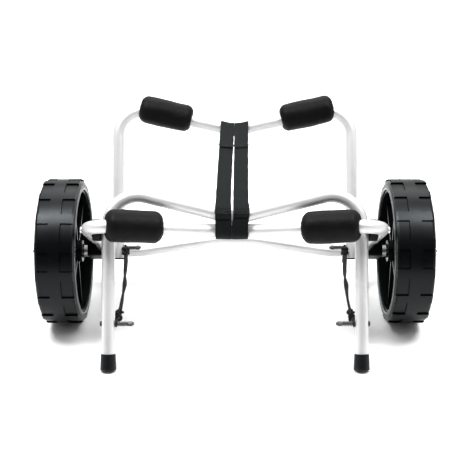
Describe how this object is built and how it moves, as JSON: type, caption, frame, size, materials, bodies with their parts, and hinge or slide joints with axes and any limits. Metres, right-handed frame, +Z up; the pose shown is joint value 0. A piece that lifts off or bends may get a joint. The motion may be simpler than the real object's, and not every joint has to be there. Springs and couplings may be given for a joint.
{
  "type": "folding boat trolley",
  "caption": "Folding two-wheel boat trolley: bent aluminium loops, fold-down stand, foam cradle pads, webbing straps and wide moulded wheels.",
  "frame": {"origin": "on the ground, at the centre of the footprint", "axes": "+X to the trolley's right along the axle, +Y to its rear, +Z up"},
  "size_m": [0.716, 0.4467, 0.3444],
  "materials": {
    "anodised_tube": "satin anodised bent tube",
    "steel_hardware": "plain bright steel",
    "spring_steel": "drawn spring wire",
    "black_plastic": "moulded, fine texture",
    "rim_plastic": "moulded, satin",
    "tyre_rubber": "moulded, matt",
    "foot_rubber": "moulded, matt",
    "pad_foam": "closed-cell foam with a matt skin",
    "webbing": "woven nylon webbing",
    "tether_cord": "braided cord"
  },
  "bodies": {
    "base": {"axle_bracket_left": "black_plastic", "axle_bracket_right": "black_plastic", "axle_bushing_left": "steel_hardware", "axle_bushing_right": "steel_hardware", "axle_left": "steel_hardware", "axle_right": "steel_hardware", "bracket_rivets": "steel_hardware", "front_frame": "anodised_tube", "hinge_pin_washers": "steel_hardware", "hinge_spring_left": "spring_steel", "hinge_spring_right": "spring_steel", "hinge_washer_left": "black_plastic", "hinge_washer_right": "black_plastic", "inner_washer_left": "black_plastic", "inner_washer_right": "black_plastic", "lower_crossbar": "anodised_tube", "outer_washer_left": "steel_hardware", "outer_washer_right": "steel_hardware", "pad_front_left": "pad_foam", "pad_front_right": "pad_foam", "pivot_bolt_left": "steel_hardware", "pivot_bolt_right": "steel_hardware", "pivot_nut_left": "steel_hardware", "pivot_nut_right": "steel_hardware", "pivot_spacer_left": "black_plastic", "pivot_spacer_right": "black_plastic", "rail_rivets": "anodised_tube", "retaining_clip_left": "steel_hardware", "retaining_clip_right": "steel_hardware", "strap_left": "webbing", "strap_right": "webbing", "tether_left": "tether_cord", "tether_right": "tether_cord"},
    "rear": {"leg_plug_left": "black_plastic", "leg_plug_right": "black_plastic", "pad_rear_left": "pad_foam", "pad_rear_right": "pad_foam", "rear_frame": "anodised_tube"},
    "stand": {"stand_foot_left": "foot_rubber", "stand_foot_right": "foot_rubber", "stand_frame": "anodised_tube", "stand_pin_washers": "steel_hardware", "stand_spring_left": "spring_steel", "stand_spring_right": "spring_steel"},
    "wheel_left": {"hub_bush_left": "rim_plastic", "rim_left": "rim_plastic", "tyre_left": "tyre_rubber"},
    "wheel_right": {"hub_bush_right": "rim_plastic", "rim_right": "rim_plastic", "tyre_right": "tyre_rubber"},
    "hinge_bolt_left": {"hinge_bolt_left": "steel_hardware", "hinge_nut_left": "steel_hardware"},
    "hinge_bolt_right": {"hinge_bolt_right": "steel_hardware", "hinge_nut_right": "steel_hardware"},
    "stand_bolt_left": {"stand_bolt_left": "steel_hardware", "stand_nut_left": "steel_hardware"},
    "stand_bolt_right": {"stand_bolt_right": "steel_hardware", "stand_nut_right": "steel_hardware"}
  },
  "joints": [
    {"name": "wheel_left_spin", "type": "hinge", "parent": "base", "child": "wheel_left", "pos_m": [-0.2995, -0.0198, 0.127], "axis": [1, 0, 0], "continuous": true},
    {"name": "wheel_right_spin", "type": "hinge", "parent": "base", "child": "wheel_right", "pos_m": [0.2995, -0.0198, 0.127], "axis": [1, 0, 0], "continuous": true},
    {"name": "rear_fold", "type": "hinge", "parent": "base", "child": "rear", "pos_m": [0, 0.0832, 0.084], "axis": [1, 0, 0], "range_deg": [0, 60], "deforming": ["strap_left", "strap_right"]},
    {"name": "stand_fold", "type": "hinge", "parent": "base", "child": "stand", "pos_m": [0, -0.11447, 0.2109], "axis": [1, 0, 0], "range_deg": [0, 15], "deforming": ["tether_left", "tether_right"]},
    {"name": "hinge_bolt_left_pull", "type": "slide", "parent": "base", "child": "hinge_bolt_left", "axis": [-1, 0, 0], "range_m": [0, 0.006], "stiffness_N_per_m": 1200, "springref_m": -0.004, "deforming": ["hinge_spring_left"]},
    {"name": "hinge_bolt_right_pull", "type": "slide", "parent": "base", "child": "hinge_bolt_right", "axis": [1, 0, 0], "range_m": [0, 0.006], "stiffness_N_per_m": 1200, "springref_m": -0.004, "deforming": ["hinge_spring_right"]},
    {"name": "stand_bolt_left_pull", "type": "slide", "parent": "stand", "child": "stand_bolt_left", "axis": [-1, 0, 0], "range_m": [0, 0.006], "stiffness_N_per_m": 1200, "springref_m": -0.004, "deforming": ["stand_spring_left"]},
    {"name": "stand_bolt_right_pull", "type": "slide", "parent": "stand", "child": "stand_bolt_right", "axis": [1, 0, 0], "range_m": [0, 0.006], "stiffness_N_per_m": 1200, "springref_m": -0.004, "deforming": ["stand_spring_right"]}
  ]
}
